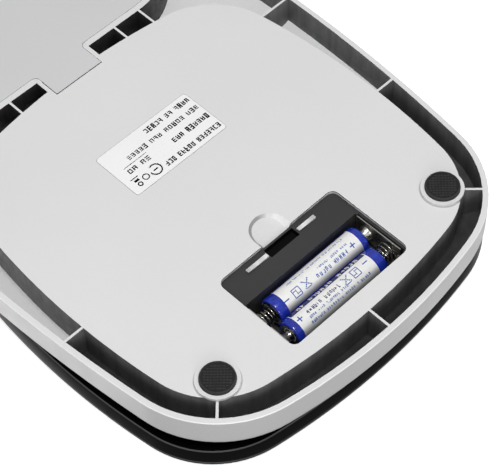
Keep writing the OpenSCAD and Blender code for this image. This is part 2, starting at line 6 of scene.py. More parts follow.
import bmesh
import bpy
from mathutils import Matrix, Vector
from mathutils.bvhtree import BVHTree


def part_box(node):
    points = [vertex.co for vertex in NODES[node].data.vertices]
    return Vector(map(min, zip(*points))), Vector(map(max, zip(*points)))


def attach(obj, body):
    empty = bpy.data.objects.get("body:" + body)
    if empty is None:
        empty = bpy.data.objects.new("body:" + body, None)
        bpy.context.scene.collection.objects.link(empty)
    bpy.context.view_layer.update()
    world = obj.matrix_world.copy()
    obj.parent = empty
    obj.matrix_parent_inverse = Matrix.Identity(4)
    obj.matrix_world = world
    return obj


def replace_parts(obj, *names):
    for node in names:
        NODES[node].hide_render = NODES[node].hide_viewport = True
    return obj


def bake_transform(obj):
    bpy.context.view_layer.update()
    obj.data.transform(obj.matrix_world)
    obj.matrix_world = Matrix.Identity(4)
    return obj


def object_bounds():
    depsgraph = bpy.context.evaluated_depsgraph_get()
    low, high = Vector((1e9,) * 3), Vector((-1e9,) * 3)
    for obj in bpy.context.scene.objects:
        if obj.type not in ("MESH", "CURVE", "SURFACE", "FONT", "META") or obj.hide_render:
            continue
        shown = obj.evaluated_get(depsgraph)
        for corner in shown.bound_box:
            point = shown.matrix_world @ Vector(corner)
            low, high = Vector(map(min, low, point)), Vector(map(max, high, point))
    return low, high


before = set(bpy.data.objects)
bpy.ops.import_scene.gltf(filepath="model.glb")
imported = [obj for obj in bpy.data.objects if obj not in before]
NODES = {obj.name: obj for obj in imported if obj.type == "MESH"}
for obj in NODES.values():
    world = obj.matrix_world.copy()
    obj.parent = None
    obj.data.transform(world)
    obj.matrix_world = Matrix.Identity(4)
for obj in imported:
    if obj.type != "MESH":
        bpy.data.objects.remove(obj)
CAD_LO, CAD_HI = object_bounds()
MM = 0.001
HOUSING = "housing"


# ---- small helpers
def size_of(node):
    """Lowest corner, highest corner and middle of a CAD node."""
    lo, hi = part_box(node)
    return lo, hi, (lo + hi) / 2


def new_object(name, mesh, body, mats):
    piece = bpy.data.objects.new(name, mesh)
    bpy.context.scene.collection.objects.link(piece)
    for m in mats:
        mesh.materials.append(m)
    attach(piece, body)
    return piece


def mesh_from(name, verts, faces):
    mesh = bpy.data.meshes.new(name)
    mesh.from_pydata([tuple(v) for v in verts], [], faces)
    mesh.validate()
    return mesh


def smooth(mesh, angle):
    mesh.polygons.foreach_set("use_smooth", [True] * len(mesh.polygons))
    mesh.set_sharp_from_angle(angle=math.radians(angle))
    mesh.update()


def fix_normals(mesh):
    bm = bmesh.new()
    bm.from_mesh(mesh)
    bmesh.ops.recalc_face_normals(bm, faces=bm.faces)
    bm.to_mesh(mesh)
    bm.free()


def bands(rings, sides):
    """Faces between rings of points that follow one another."""
    faces = []
    for i in range(rings - 1):
        for k in range(sides):
            n = (k + 1) % sides
            faces.append((i * sides + k, i * sides + n, (i + 1) * sides + n, (i + 1) * sides + k))
    return faces


def cap(faces, ring, sides):
    """Closes one ring of points with a single face."""
    faces.append(tuple(range(ring * sides, (ring + 1) * sides)))


# ---- node material helpers
class Look:
    """One Principled material with helpers that add its procedural detail."""

    def __init__(self, name, colour, rough, metallic=0.0, specular=0.5, coat=0.0):
        self.mat = bpy.data.materials.new(name)
        self.mat.use_nodes = True
        self.tree = self.mat.node_tree
        self.nodes = self.tree.nodes
        self.shader = self.nodes["Principled BSDF"]
        self.set("Base Color", (*colour, 1.0))
        self.set("Roughness", rough)
        self.set("Metallic", metallic)
        self.set("Specular IOR Level", specular)
        self.set("Coat Weight", coat)
        self.set("Coat Roughness", 0.12)
        self.colour = colour
        self.rough = rough
        self.place = self.add("ShaderNodeTexCoord").outputs["Object"]

    def add(self, kind, **values):
        node = self.nodes.new(kind)
        for key, value in values.items():
            setattr(node, key, value)
        return node

    def set(self, socket, value):
        self.shader.inputs[socket].default_value = value

    def link(self, out, into):
        self.tree.links.new(out, into)

    def noise(self, scale, detail=3.0, rough=0.55, stretch=None):
        node = self.add("ShaderNodeTexNoise")
        node.inputs["Scale"].default_value = scale
        node.inputs["Detail"].default_value = detail
        node.inputs["Roughness"].default_value = rough
        if stretch:
            mapping = self.add("ShaderNodeMapping")
            mapping.inputs["Scale"].default_value = stretch
            self.link(self.place, mapping.inputs["Vector"])
            self.link(mapping.outputs["Vector"], node.inputs["Vector"])
        else:
            self.link(self.place, node.inputs["Vector"])
        return node.outputs["Fac"]

    def ramp(self, fac, low, high, from_pos=0.35, to_pos=0.65):
        node = self.add("ShaderNodeValToRGB")
        node.color_ramp.elements[0].position = from_pos
        node.color_ramp.elements[1].position = to_pos
        node.color_ramp.elements[0].color = (*low, 1.0)
        node.color_ramp.elements[1].color = (*high, 1.0)
        self.link(fac, node.inputs["Fac"])
        return node.outputs["Color"]

    def span(self, fac, from_lo, from_hi, to_lo, to_hi):
        node = self.add("ShaderNodeMapRange")
        for name, value in zip(("From Min", "From Max", "To Min", "To Max"),
                               (from_lo, from_hi, to_lo, to_hi)):
            node.inputs[name].default_value = value
        self.link(fac, node.inputs["Value"])
        return node.outputs["Result"]

    def mix(self, fac, a, b):
        node = self.add("ShaderNodeMix", data_type="RGBA")
        self.link(fac, node.inputs["Factor"])
        for socket, value in ((node.inputs["A"], a), (node.inputs["B"], b)):
            if isinstance(value, tuple):
                socket.default_value = (*value, 1.0)
            else:
                self.link(value, socket)
        return node.outputs["Result"]

    def rises(self, fac, lo, hi):
        """0 up to lo and 1 from hi on."""
        return self.span(fac, lo, hi, 0.0, 1.0)

    def falls(self, fac, lo, hi):
        """1 up to lo and 0 from hi on."""
        return self.span(fac, lo, hi, 1.0, 0.0)

    def maths(self, kind, a, b=0.0):
        node = self.add("ShaderNodeMath", operation=kind)
        for socket, value in zip(node.inputs, (a, b)):
            if isinstance(value, float):
                socket.default_value = value
            else:
                self.link(value, socket)
        return node.outputs["Value"]

    def product(self, first, *others):
        """The product of several masks."""
        for mask in others:
            first = self.maths("MULTIPLY", first, mask)
        return first

    def times(self, tone, fac):
        """A colour multiplied by a grey value."""
        node = self.add("ShaderNodeMix", data_type="RGBA", blend_type="MULTIPLY")
        node.inputs["Factor"].default_value = 1.0
        self.link(tone, node.inputs["A"])
        self.link(fac, node.inputs["B"])
        return node.outputs["Result"]

    def paint(self, tone):
        """Gives the shader its base colour."""
        self.link(tone, self.shader.inputs["Base Color"])

    def axes(self):
        """Places along x, y and z."""
        node = self.add("ShaderNodeSeparateXYZ")
        self.link(self.place, node.inputs["Vector"])
        return node.outputs

    def facing(self):
        """How far a face looks up: -1 down, 0 sideways, 1 up."""
        node = self.add("ShaderNodeSeparateXYZ")
        geometry = self.add("ShaderNodeNewGeometry")
        self.link(geometry.outputs["True Normal"], node.inputs["Vector"])
        return node.outputs["Z"]

    def bump(self, height, distance):
        node = self.add("ShaderNodeBump")
        node.inputs["Strength"].default_value = 1.0
        node.inputs["Distance"].default_value = distance
        self.link(height, node.inputs["Height"])
        self.link(node.outputs["Normal"], self.shader.inputs["Normal"])

    def vary(self, amount=0.04, scale=25.0):
        """Slow drift of the base colour and roughness, as on any moulding."""
        low = tuple(c * (1 - amount) for c in self.colour)
        high = tuple(min(1.0, c * (1 + amount)) for c in self.colour)
        tone = self.ramp(self.noise(scale, 2.0), low, high)
        self.paint(tone)
        fine = self.noise(scale * 7, 3.0)
        rough = self.span(fine, 0.3, 0.7, self.rough * 0.9, self.rough * 1.1)
        self.link(rough, self.shader.inputs["Roughness"])
        return tone


def shaded(colour, share):
    """A colour made darker or lighter by a share."""
    return tuple(c * share for c in colour)


def moulded(name, colour, rough, grain=3000.0, depth=0.01 * MM, **more):
    """Moulded plastic with a fine spark-eroded grain."""
    look = Look(name, colour, rough, **more)
    look.vary()
    look.bump(look.noise(grain, 2.0), depth)
    return look.mat


# ---- materials
SILVER = (0.80, 0.80, 0.80)
BARE = (0.108, 0.108, 0.109)
DARK = (0.012, 0.012, 0.0125)
# height of the flat underside, how far from it still counts as the same face, and how far from
# an edge its painted highlight line, and from a boss its painted shade line, ends
FACE_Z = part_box("rating_label")[1].z
STEP = 0.3 * MM
LINE = 0.5 * MM
BOSS_R = 7.6 * MM
SKIRT_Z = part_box("platform")[0].z
WIDEST_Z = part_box("platform")[1].z - 2.6 * MM
# how far a face looks up, where it stops being a flat underside and where it becomes a wall
OFF_FLAT = (-0.985, -0.95)
NEAR_WALL = (-0.34, -0.25)
# the finger bowl's walls that face this way get painted shade, and those that face away a painted
# highlight
BOWL_SHADED_WAY = (0.71, 0.70, 0.0)


def silver_coat(look):
    """Slow drift and tiny flakes of the silver paint, with its faint orange peel."""
    flakes = look.span(look.noise(3300.0, 2.0), 0.3, 0.7, 0.955, 1.04)
    look.bump(look.noise(2600.0, 2.0), 0.006 * MM)
    return look.times(look.vary(0.012, 14.0), flakes)


def sprayed_silver(name, colour, rough=0.42, edge=None):
    """Light silver paint. edge is a painted highlight: a lighter colour on the rounded edges under
    the face. It also brings a painted shade, a fine dark line where each foot's boss meets the
    face."""
    look = Look(name, colour, rough)
    paint = silver_coat(look)
    if edge:
        place = look.axes()
        turn = look.facing()
        # painted highlight: the lighter edge colour on the rounded edges just under the face
        low = look.falls(place["Z"], FACE_Z + STEP, FACE_Z + LINE)
        mask = look.product(low, look.rises(turn, *OFF_FLAT), look.falls(turn, *NEAR_WALL))
        paint = look.mix(mask, paint, edge)
        # painted shade: a fine dark ring round the base of each foot's boss
        # x counts without its sign, so that one foot's middle serves the left side too
        for foot in ("rear_right_foot", "front_right_foot"):
            middle = size_of(foot)[2]
            dx = look.maths("SUBTRACT", look.maths("ABSOLUTE", place["X"]), middle.x)
            dy = look.maths("SUBTRACT", place["Y"], middle.y)
            square = look.maths("ADD", look.maths("POWER", dx, 2.0), look.maths("POWER", dy, 2.0))
            near = look.falls(look.maths("SQRT", square), BOSS_R + STEP, BOSS_R + LINE)
            flat = look.rises(place["Z"], FACE_Z - STEP, FACE_Z - 0.1 * MM)
            paint = look.mix(look.product(near, flat), paint, shaded(colour, 0.62))
    look.paint(paint)
    return look.mat


def bowl_paint_painted_light(name):
    """Paint in the finger bowl, with painted shade on one wall and a painted highlight on the wall
    opposite.
    """
    look = Look(name, SILVER, 0.42)
    turn = look.add("ShaderNodeVectorMath", operation="DOT_PRODUCT")
    look.link(look.add("ShaderNodeNewGeometry").outputs["Normal"], turn.inputs[0])
    turn.inputs[1].default_value = BOWL_SHADED_WAY
    # painted highlight on the walls that face one way, painted shade on the walls that face the
    # other
    painted_highlight_side = look.falls(turn.outputs["Value"], -0.25, -0.02)
    thin = look.rises(turn.outputs["Value"], 0.05, 0.5)
    tone = look.mix(painted_highlight_side, silver_coat(look), (0.98, 0.98, 0.98))
    look.paint(look.mix(thin, tone, (0.36, 0.36, 0.36)))
    return look.mat


def shrink_film(name, colour):
    """Glossy shrink film with faint wrinkles round the cell's ends."""
    look = Look(name, colour, 0.16, coat=0.6)
    look.vary(0.25, 500.0)
    look.bump(look.noise(700.0, 3.0, 0.6, (0.25, 1.0, 1.0)), 0.09 * MM)
    return look.mat


def bare_wall(name, colour, mist_and_shade_share):
    """Walls that the spray doesn't reach: bare plastic with overspray near the mouth and painted
    shade deeper in.
    """
    look = Look(name, colour, 0.5)
    # overspray that fades from the mouth inwards, which also stands as painted shade deeper in the
    # moat
    mist_and_depth_shade = look.falls(look.axes()["Z"], 2.4 * MM, 10.5 * MM)
    speckle = look.span(look.noise(160.0, 4.0), 0.3, 0.7, 0.45, 1.0)
    fine = look.span(look.noise(5200.0, 1.0), 0.3, 0.7, 0.7, 1.0)
    amount = look.product(mist_and_depth_shade, speckle, fine, mist_and_shade_share)
    # runs of spray that follow the draw of the mould
    runs = look.span(look.noise(300.0, 3.0, 0.6, (1.0, 1.0, 0.04)), 0.35, 0.65, 0.82, 1.2)
    tone = look.ramp(look.noise(30.0, 2.0), shaded(colour, 0.9), shaded(colour, 1.15))
    look.paint(look.times(look.mix(amount, tone, SILVER), runs))
    rough = look.span(look.noise(400.0, 3.0), 0.3, 0.7, 0.36, 0.55)
    look.link(rough, look.shader.inputs["Roughness"])
    look.bump(look.noise(2600.0, 2.0), 0.01 * MM)
    return look.mat


def mouth_wall(name):
    """Edge of the battery opening: black plastic with a painted highlight, a pale line half way
    up.
    """
    look = Look(name, DARK, 0.45)
    height = look.axes()["Z"]
    # painted highlight: a pale line half way up the wall
    line = look.product(look.rises(height, FACE_Z + 0.4 * MM, FACE_Z + 0.5 * MM),
                        look.falls(height, FACE_Z + 1.2 * MM, FACE_Z + 1.3 * MM),
                        look.span(look.noise(260.0, 3.0), 0.35, 0.65, 0.45, 1.0))
    look.paint(look.mix(line, look.vary(0.1), (1.0, 1.0, 1.0)))
    look.bump(look.noise(2400.0, 2.0), 0.012 * MM)
    return look.mat


def tray_painted_highlight(name, colour):
    """Black tray plastic, with a painted highlight on the edges that face down."""
    look = Look(name, colour, 0.42)
    tone = look.vary(0.08)
    turn = look.facing()
    # painted highlight in patches on the rounded edges that face down
    edge_highlight_patches = look.product(look.rises(turn, -0.97, -0.93), look.falls(turn, -0.3, -0.2),
                         look.span(look.noise(220.0, 3.0), 0.35, 0.65, 0.25, 1.0))
    look.paint(look.mix(edge_highlight_patches, tone, (0.42, 0.42, 0.42)))
    look.bump(look.noise(2400.0, 2.0), 0.014 * MM)
    return look.mat


def rail_look(name, colour):
    """Rubbed plastic of the door's rails, in brighter and duller patches along each rail."""
    look = Look(name, colour, 0.25)
    rub = look.noise(110.0, 3.0, 0.6, (1.0, 0.3, 1.0))
    look.paint(look.ramp(rub, shaded(colour, 0.55), shaded(colour, 1.4)))
    look.bump(look.noise(3000.0, 2.0), 0.01 * MM)
    return look.mat


def platform_look(name, colour):
    """Black platform plastic with a painted highlight line on the skirt's lower and widest edges.
    """
    look = Look(name, colour, 0.3, specular=0.14)
    tone = look.vary()
    height = look.axes()["Z"]
    turn = look.facing()
    # painted highlight along the skirt's lower edge and along its widest edge
    low_edge = look.product(look.falls(height, SKIRT_Z + 0.4 * MM, SKIRT_Z + 0.6 * MM),
                            look.rises(turn, -0.985, -0.93), look.falls(turn, -0.2, -0.1))
    wide_edge = look.product(look.rises(height, WIDEST_Z - 0.4 * MM, WIDEST_Z - 0.1 * MM),
                             look.falls(height, WIDEST_Z + 0.1 * MM, WIDEST_Z + 0.4 * MM))
    line = look.maths("MAXIMUM", low_edge, wide_edge)
    look.paint(look.mix(line, tone, (0.115, 0.115, 0.118)))
    look.bump(look.noise(1800.0, 2.0), 0.004 * MM)
    return look.mat


def sleeve_white_painted_shade(name, cell):
    """White sleeve print with painted shade that turns it dark grey towards the cell's sides."""
    look = Look(name, (0.90, 0.90, 0.91), 0.2)
    lo, hi, mid = size_of(cell)
    side = look.maths("DIVIDE", look.maths("SUBTRACT", look.axes()["Y"], mid.y), (hi.y - lo.y) / 2)
    # painted shade: darker towards the cell's sides
    shade = look.rises(look.maths("ABSOLUTE", side), 0.62, 0.98)
    tone = look.ramp(look.noise(900.0, 2.0), (0.90, 0.90, 0.885), (0.95, 0.95, 0.935))
    look.paint(look.mix(shade, tone, (0.14, 0.14, 0.145)))
    return look.mat


def metal(name, colour, rough, scale, brushed=None):
    """Plated or machined metal with fine marks; brushed is the stretch of the marks."""
    look = Look(name, colour, rough, metallic=1.0)
    marks = look.noise(scale, 4.0, 0.6, brushed)
    polish = look.span(marks, 0.3, 0.7, rough * 0.75, rough * 1.35)
    look.link(polish, look.shader.inputs["Roughness"])
    look.paint(look.ramp(look.noise(scale / 4, 2.0), shaded(colour, 0.93), colour))
    look.bump(marks, 0.004 * MM)
    return look.mat


def rubber(name, colour):
    look = Look(name, colour, 0.72, specular=0.35)
    look.vary(0.12, 300.0)
    look.bump(look.noise(4200.0, 3.0), 0.02 * MM)
    return look.mat


def paper(name, colour):
    look = Look(name, colour, 0.38)
    look.vary(0.01, 60.0)
    look.bump(look.noise(3500.0, 4.0), 0.004 * MM)
    return look.mat


def ink(name, colour, rough=0.45, specular=0.5):
    look = Look(name, colour, rough, specular=specular)
    look.vary(0.1, 2500.0)
    return look.mat


def clear_pane(name):
    """Acrylic with a faint smear on it."""
    look = Look(name, (0.90, 0.93, 0.93), 0.04)
    look.set("Transmission Weight", 1.0)
    look.set("IOR", 1.49)
    smear = look.span(look.noise(90.0, 3.0), 0.35, 0.7, 0.04, 0.07)
    look.link(smear, look.shader.inputs["Roughness"])
    return look.mat


def board_look(name):
    """Green solder mask over a pattern of tracks."""
    look = Look(name, (0.015, 0.13, 0.05), 0.3, coat=0.3)
    tracks = look.add("ShaderNodeTexBrick")
    tracks.inputs["Scale"].default_value = 220.0
    tracks.inputs["Mortar Size"].default_value = 0.06
    look.link(look.place, tracks.inputs["Vector"])
    tracks.inputs["Color1"].default_value = (0.012, 0.11, 0.045, 1.0)
    tracks.inputs["Color2"].default_value = (0.016, 0.15, 0.06, 1.0)
    tracks.inputs["Mortar"].default_value = (0.03, 0.22, 0.09, 1.0)
    look.paint(tracks.outputs["Color"])
    look.bump(look.noise(2200.0, 2.0), 0.008 * MM)
    return look.mat


def lcd_look(name):
    look = Look(name, (0.36, 0.41, 0.34), 0.18, coat=0.6)
    look.vary(0.03, 80.0)
    look.bump(look.noise(1500.0, 2.0), 0.003 * MM)
    return look.mat


M = {
    # the edge colours of the silver and the cover are painted highlights on rounded edges
    "silver": sprayed_silver("silver_paint", SILVER, edge=(1.0, 1.0, 1.0)),
    # the roof's silver is lighter than the rest: painted light for a roof in shadow
    "roof": sprayed_silver("roof_paint_painted_light", (0.9, 0.9, 0.9)),
    "bowl": bowl_paint_painted_light("bowl_paint_painted_light"),
    "cover": sprayed_silver("cover_paint", (0.69, 0.69, 0.70), edge=(0.86, 0.86, 0.86)),
    "wall": bare_wall("bare_wall", BARE, 0.22),
    "pocket": bare_wall("pocket_wall", DARK, 0.05),
    "mouth": mouth_wall("mouth_wall"),
    "dim_roof": bare_wall("dim_roof", shaded(DARK, 3.2), 0.12),
    "black": moulded("black_abs", (0.010, 0.010, 0.011), 0.42, grain=2600.0, depth=0.012 * MM),
    "top": platform_look("platform_abs", (0.0022, 0.0022, 0.0023)),
    "tray": tray_painted_highlight("tray_abs", (0.036, 0.036, 0.037)),
    "rubber": rubber("foot_rubber", (0.036, 0.036, 0.037)),
    # the darker rubber of the recessed field is painted shade
    "tread": rubber("tread_rubber_painted_shade", (0.012, 0.012, 0.0125)),
    "paper": paper("label_paper", (0.99, 0.99, 0.99)),
    "ink": ink("label_ink", (0.006, 0.006, 0.007), 0.6, 0.1),
    # the grey rim round the rating label is painted shade
    "label_edge_shade": ink("label_edge", (0.30, 0.30, 0.30), 0.6),
    "nickel": metal("nickel_plate", (0.50, 0.49, 0.46), 0.12, 900.0),
    "plate": metal("contact_plate", (0.66, 0.64, 0.60), 0.3, 1200.0, (1.0, 0.2, 1.0)),
    "zinc": metal("zinc_plate", (0.62, 0.64, 0.67), 0.32, 700.0),
    "bar": metal("milled_bar", (0.80, 0.81, 0.82), 0.34, 1500.0, (0.15, 1.0, 1.0)),
    "pressed": metal("pressed_steel", (0.55, 0.56, 0.58), 0.36, 500.0),
    "gauge": rubber("gauge_silicone", (0.78, 0.78, 0.74)),
    "frame": moulded("frame_abs", (0.78, 0.78, 0.75), 0.45),
    "zebra": rubber("zebra_rubber", (0.50, 0.22, 0.26)),
    "wire": moulded("wire_sleeve", (0.42, 0.02, 0.015), 0.35, grain=2000.0),
    "button": sprayed_silver("button_paint", (0.42, 0.43, 0.44), 0.36),
    "print": ink("window_print", (0.006, 0.006, 0.007), 0.16),
    "pane": clear_pane("window_pane"),
    "mark": ink("button_ink", (0.05, 0.05, 0.055)),
    "digit": ink("lcd_segment", (0.020, 0.024, 0.022), 0.3),
    "white_stroke": ink("sleeve_stroke", (0.80, 0.80, 0.82), 0.2),
    "blue": shrink_film("sleeve_blue", (0.014, 0.034, 0.40)),
    "navy": ink("sleeve_navy", (0.012, 0.016, 0.13), 0.22),
    "print_blue": ink("sleeve_print", (0.008, 0.085, 0.42), 0.4, 0.2),
    "rail": rail_look("rail_abs", (0.62, 0.62, 0.62)),
    # the latch notch's deeper black is painted shade
    "deep": moulded("notch_painted_shade", (0.0025, 0.0025, 0.0025), 0.7, specular=0.1),
    "board": board_look("solder_mask"),
    "lcd": lcd_look("lcd_panel"),
}


# ---- CAD nodes that keep their shape
WELD_GAP = 0.002 * MM
OFF_FACE = 0.02 * MM
FAR = 0.2


def dress(node, looks, radius=0.0):
    """Gives a CAD node its looks, and small round edges (radius in mm) from modifiers."""
    piece = NODES[node]
    mesh = piece.data
    mesh.materials.clear()
    for name in looks:
        mesh.materials.append(M[name])
    if "custom_normal" in mesh.attributes:
        mesh.attributes.remove(mesh.attributes["custom_normal"])
    mesh.polygons.foreach_set("use_smooth", [True] * len(mesh.polygons))
    weld = piece.modifiers.new("weld", "WELD")
    weld.merge_threshold = WELD_GAP
    if radius:
        edges = piece.modifiers.new("edges", "BEVEL")
        edges.width = radius * MM
        edges.segments = 2
        edges.limit_method = "ANGLE"
        edges.angle_limit = math.radians(35)
        edges.miter_outer = "MITER_ARC"
    shade = piece.modifiers.new("shade", "WEIGHTED_NORMAL")
    shade.keep_sharp = True
    shade.weight = 80


def set_faces(node, choose):
    """Material number of each face of a node, from its middle and normal."""
    mesh = NODES[node].data
    index = [choose(p.center, p.normal) for p in mesh.polygons]
    mesh.polygons.foreach_set("material_index", index)


def open_air(node):
    """For each face of a node: whether a line straight out of it misses the node."""
    mesh = NODES[node].data
    points = [v.co for v in mesh.vertices]
    tree = BVHTree.FromPolygons(points, [p.vertices[:] for p in mesh.polygons])
    clear = []
    for p in mesh.polygons:
        clear.append(tree.ray_cast(p.center + p.normal * OFF_FACE, p.normal, FAR)[0] is None)
    return clear


# the shell's materials, in the order that dress() gets them
SHELL_LOOKS = ("silver", "wall", "roof", "pocket", "bowl", "dim_roof", "mouth")
SILVER_SIDE, BARE_SIDE, ROOF_SIDE, POCKET_SIDE, BOWL_SIDE, DIM_ROOF_SIDE, MOUTH_SIDE = range(7)
TRAY_LO, TRAY_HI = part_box("battery_tray")
BOWL_LO = Vector((-8.3, 54.0, 2.3)) * MM
BOWL_HI = Vector((8.3, 66.2, 5.4)) * MM
REAR_RIB_Y = 47.2 * MM
POCKET_Y = -33.8 * MM
ROOF_Z = FACE_Z + 4.5 * MM
MOUTH_Z = FACE_Z + 2.5 * MM
LOOKS_DOWN = -0.25
WALL_TURN = 0.7


def paint_shell():
    """Spray lands on what faces down, on the outside and in the finger bowl. The moat's roof gets
    a lighter silver, painted light for a roof in shadow, and is coloured dark behind the rear
    ribs; the walls stay bare."""
    clear = open_air("base_shell")
    mesh = NODES["base_shell"].data
    index = []
    for p in mesh.polygons:
        c, n = p.center, p.normal
        in_mouth = TRAY_LO.x < c.x < TRAY_HI.x and TRAY_LO.y < c.y < TRAY_HI.y and c.z < MOUTH_Z
        if all(BOWL_LO[k] < c[k] < BOWL_HI[k] for k in range(3)):
            index.append(BOWL_SIDE)
        # the moat's roof: a lighter silver that is painted light, and darker behind the rear ribs
        elif n.z < LOOKS_DOWN and c.z > ROOF_Z:
            index.append(DIM_ROOF_SIDE if c.y > REAR_RIB_Y else ROOF_SIDE)
        elif n.z < LOOKS_DOWN or c.z < FACE_Z + STEP:
            index.append(SILVER_SIDE)
        elif in_mouth:
            index.append(MOUTH_SIDE)
        elif clear[p.index] and abs(n.z) < WALL_TURN:
            index.append(SILVER_SIDE)
        else:
            index.append(POCKET_SIDE if c.y < POCKET_Y else BARE_SIDE)
    mesh.polygons.foreach_set("material_index", index)


def cover_face(centre, normal):
    """1, the bare walls, for the display cover's sides, and 0 for its painted face."""
    return int(abs(normal.z) < WALL_TURN and centre.z > FACE_Z + STEP)


TRAY_SIDE, RAIL_SIDE, NOTCH_SIDE = range(3)
RAIL_Z = TRAY_LO.z + 0.4 * MM
NOTCH_Y = 71.3 * MM
NOTCH_X = 6.8 * MM
NOTCH_Z = 3.8 * MM


def tray_face(centre, _normal):
    """Rubbed plastic on the rails' tops, and painted shade, a deeper black, in the latch notch."""
    if centre.z < RAIL_Z:
        return RAIL_SIDE
    # painted shade: the latch notch gets a deeper black
    in_notch = centre.y < NOTCH_Y and abs(centre.x) < NOTCH_X and centre.z > NOTCH_Z
    return NOTCH_SIDE if in_notch else TRAY_SIDE


dress("base_shell", SHELL_LOOKS, 0.35)
paint_shell()
dress("display_cover", ("cover", "pocket"), 0.2)
set_faces("display_cover", cover_face)
dress("battery_tray", ("tray", "rail", "deep"), 0.25)
set_faces("battery_tray", tray_face)
for nodes, look, edge in (
        (("top_cover",), "black", 0.25),
        (("platform",), "top", 0.25),
        (("rating_label",), "paper", 0.0),
        (("bridge_contact", "negative_contact", "positive_contact"), "plate", 0.08),
        (("load_cell", "cell_spacer", "carrier_spacer"), "bar", 0.2),
        (("housing_screws", "base_cell_screws", "board_screws"), "zinc", 0.1),
        (("carrier_cell_screws", "platform_screws"), "zinc", 0.1),
        (("carrier",), "pressed", 0.2),
        (("strain_gauges",), "gauge", 0.2),
        (("main_board",), "board", 0.08),
        (("lcd_glass",), "lcd", 0.1),
        (("lcd_frame", "lead_sockets"), "frame", 0.15),
        (("zebra_strips",), "zebra", 0.1),
        (("tact_switches",), "tray", 0.1),
        (("load_cell_lead", "battery_leads"), "wire", 0.0)):
    for node in nodes:
        dress(node, (look,), edge)


# ---- detailed pieces that take the place of CAD nodes
def lathe(profile, sides, at, up):
    """Verts and faces of a closed turned shape. profile holds (height, radius) pairs in mm,
    and its axis goes from at along up."""
    across = Vector((1, 0, 0))
    away = up.cross(across)
    verts = []
    for height, radius in profile:
        for k in range(sides):
            a = 2 * math.pi * k / sides
            out = across * math.cos(a) + away * math.sin(a)
            verts.append(at + (up * height + out * radius) * MM)
    faces = bands(len(profile), sides)
    cap(faces, 0, sides)
    cap(faces, len(profile) - 1, sides)
    return verts, faces


def block(verts, faces, lo, hi, matrix=None):
    """A small box between two corners, added to verts and faces."""
    base = len(verts)
    for x in (lo[0], hi[0]):
        for y in (lo[1], hi[1]):
            for z in (lo[2], hi[2]):
                point = Vector((x, y, z))
                verts.append(matrix @ point if matrix else point)
    for face in ((0, 1, 3, 2), (4, 6, 7, 5), (0, 4, 5, 1),
                 (2, 3, 7, 6), (0, 2, 6, 4), (1, 5, 7, 3)):
        faces.append(tuple(base + k for k in face))


WIRE = 0.3 * MM
COIL_TURNS = 4
COIL_STEPS = 40 * COIL_TURNS
WIRE_SIDES = 12
NARROWEST = 0.59
FLAT_END = 0.07


def spring_piece(node, cell, plate_side):
    """Conical coil spring, wide at the contact plate and narrow at the cell."""
    lo, hi, _ = size_of(node)
    axis = size_of(cell)[2]
    x_plate = hi.x - WIRE if plate_side > 0 else lo.x + WIRE
    x_cell = lo.x + WIRE if plate_side > 0 else hi.x - WIRE
    wide = hi.y - axis.y - WIRE
    path = []
    for i in range(COIL_STEPS + 1):
        t = i / COIL_STEPS
        along = min(1.0, max(0.0, (t - FLAT_END) / (1 - 2 * FLAT_END)))
        r = wide + (wide * NARROWEST - wide) * t
        a = 2 * math.pi * COIL_TURNS * t
        path.append(Vector((x_plate + (x_cell - x_plate) * along, axis.y + r * math.cos(a),
                            axis.z + r * math.sin(a))))
    verts = []
    for i, point in enumerate(path):
        ahead = (path[min(i + 1, COIL_STEPS)] - path[max(i - 1, 0)]).normalized()
        out = Vector((0, point.y - axis.y, point.z - axis.z))
        out = (out - ahead * out.dot(ahead)).normalized()
        over = ahead.cross(out)
        thin = 0.7 if i in (0, COIL_STEPS) else 1.0
        for k in range(WIRE_SIDES):
            a = 2 * math.pi * k / WIRE_SIDES
            verts.append(point + (out * math.cos(a) + over * math.sin(a)) * WIRE * thin)
    faces = bands(COIL_STEPS + 1, WIRE_SIDES)
    cap(faces, 0, WIRE_SIDES)
    cap(faces, COIL_STEPS, WIRE_SIDES)
    mesh = mesh_from(node + "_coil", verts, faces)
    fix_normals(mesh)
    smooth(mesh, 60)
    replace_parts(new_object(node + "_coil", mesh, HOUSING, [M["nickel"]]), node)


spring_piece("bridge_spring", "rear_cell", 1)
spring_piece("negative_spring", "front_cell", -1)

RING = 96
# a cell's materials
METAL, WHITE, BLUE, NAVY, PRINT, PLASTIC, STROKE = range(7)
NUB = 1.1 * MM
SLEEVE_IN = 0.03 * MM
PRINT_IN = 0.012 * MM
WRAPPED = -1


